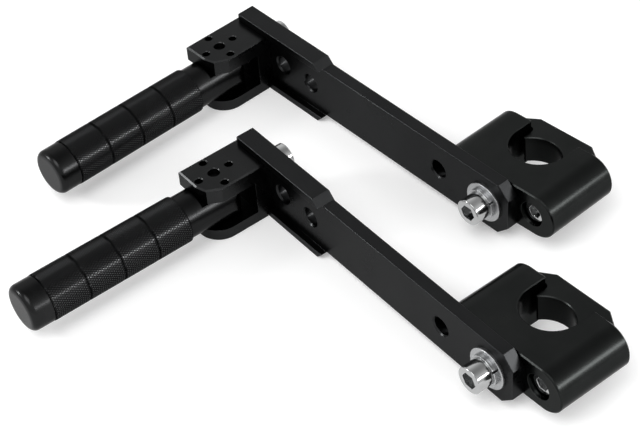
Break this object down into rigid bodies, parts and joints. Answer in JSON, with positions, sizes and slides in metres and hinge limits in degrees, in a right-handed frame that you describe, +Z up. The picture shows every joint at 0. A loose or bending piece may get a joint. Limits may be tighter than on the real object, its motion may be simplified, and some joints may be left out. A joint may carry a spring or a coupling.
{
  "type": "footpeg relocation kit",
  "caption": "Pair of flat arms, each with a two-piece tube clamp at one end and a folding knurled footpeg in a clevis at the other.",
  "frame": {"origin": "middle of the bounding box, at its base", "axes": "+Z up, along the peg pivots; +X along the near arm from the footpeg to the clamp; the near footpeg points along -Y"},
  "size_m": [0.3076, 0.2734, 0.04],
  "materials": {
    "black_arm": "satin black anodised",
    "black_clevis": "satin black anodised",
    "black_peg": "satin black anodised",
    "black_clamp": "satin black anodised",
    "bright_steel": "bright zinc plated",
    "black_steel": "black oxide",
    "plain_steel": "plain"
  },
  "bodies": {
    "clamps": {"near_clamp_body": "black_clamp", "near_clamp_cap": "black_clamp", "near_cap_screw_left": "bright_steel", "near_cap_screw_right": "bright_steel", "near_arm_screw": "bright_steel", "near_arm_spring_washer": "bright_steel", "near_arm_flat_washer": "bright_steel", "far_clamp_body": "black_clamp", "far_clamp_cap": "black_clamp", "far_cap_screw_left": "bright_steel", "far_cap_screw_right": "bright_steel", "far_arm_screw": "bright_steel", "far_arm_spring_washer": "bright_steel", "far_arm_flat_washer": "bright_steel"},
    "near_arm_set": {"near_arm": "black_arm", "near_clevis": "black_clevis", "near_pivot_screw": "black_steel", "near_clevis_screw": "bright_steel", "near_clevis_spring_washer": "bright_steel", "near_clevis_flat_washer": "bright_steel"},
    "near_peg_set": {"near_footpeg": "black_peg", "near_detent_ball": "plain_steel", "near_detent_spring": "plain_steel"},
    "far_arm_set": {"far_arm": "black_arm", "far_clevis": "black_clevis", "far_pivot_screw": "black_steel", "far_clevis_screw": "bright_steel", "far_clevis_spring_washer": "bright_steel", "far_clevis_flat_washer": "bright_steel"},
    "far_peg_set": {"far_footpeg": "black_peg", "far_detent_ball": "plain_steel", "far_detent_spring": "plain_steel"}
  },
  "joints": [
    {"name": "near_arm_swing", "type": "hinge", "parent": "clamps", "child": "near_arm_set", "pos_m": [0.11456, 0.00887, 0.02], "axis": [0, 1, 0], "range_deg": [-90, 90]},
    {"name": "near_peg_fold", "type": "hinge", "parent": "near_arm_set", "child": "near_peg_set", "pos_m": [-0.06034, -0.01993, 0.0185], "axis": [0, 0, 1], "range_deg": [0, 90]},
    {"name": "far_arm_swing", "type": "hinge", "parent": "clamps", "child": "far_arm_set", "pos_m": [0.03302, 0.08081, 0.02], "axis": [-0.0593, 0.9982, 0], "range_deg": [-90, 90]},
    {"name": "far_peg_fold", "type": "hinge", "parent": "far_arm_set", "child": "far_peg_set", "pos_m": [-0.13986, 0.04168, 0.0185], "axis": [0, 0, 1], "range_deg": [0, 24]}
  ]
}
